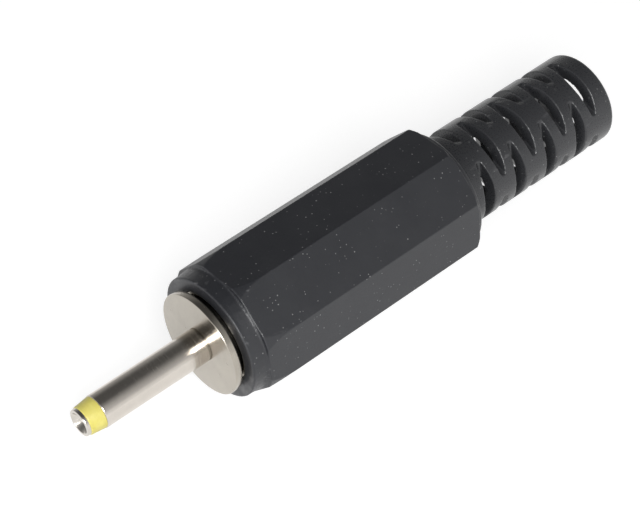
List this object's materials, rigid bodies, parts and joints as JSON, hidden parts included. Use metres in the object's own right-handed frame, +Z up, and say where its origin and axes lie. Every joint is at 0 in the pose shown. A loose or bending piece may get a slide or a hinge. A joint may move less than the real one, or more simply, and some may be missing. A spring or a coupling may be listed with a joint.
{
  "type": "dc barrel plug",
  "caption": "In-line dc barrel plug with a yellow tip, a turned metal barrel and flange, and an octagonal screw-on hood with a slotted strain-relief boot.",
  "frame": {"origin": "centre of the flange's front face, on the plug's axis, where the plug stops against its socket", "axes": "+X runs along the plug from its contact nose to the cable end; +Z is up, away from the flat of the hood that the plug lies on"},
  "size_m": [0.044, 0.0092, 0.0092],
  "materials": {
    "nickel_plate": "bright nickel plate over turned brass",
    "yellow_plastic": "smooth yellow moulded plastic",
    "contact_plate": "bright nickel plate over a turned brass tube",
    "tinned_brass": "tin-plated stamped brass sheet",
    "washer_plastic": "plain moulded insulating plastic",
    "black_plastic": "satin black moulded plastic, glossier on the boot"
  },
  "bodies": {
    "core": {"barrel_shell": "nickel_plate", "tip_insulator": "yellow_plastic", "centre_contact": "contact_plate", "ground_clamp": "tinned_brass", "insulating_washer": "washer_plastic", "centre_tag": "tinned_brass"},
    "hood": {"hood": "black_plastic"}
  },
  "joints": [
    {"name": "hood_slide", "type": "slide", "parent": "core", "child": "hood", "axis": [1, 0, 0], "range_m": [0, 0.019]}
  ]
}
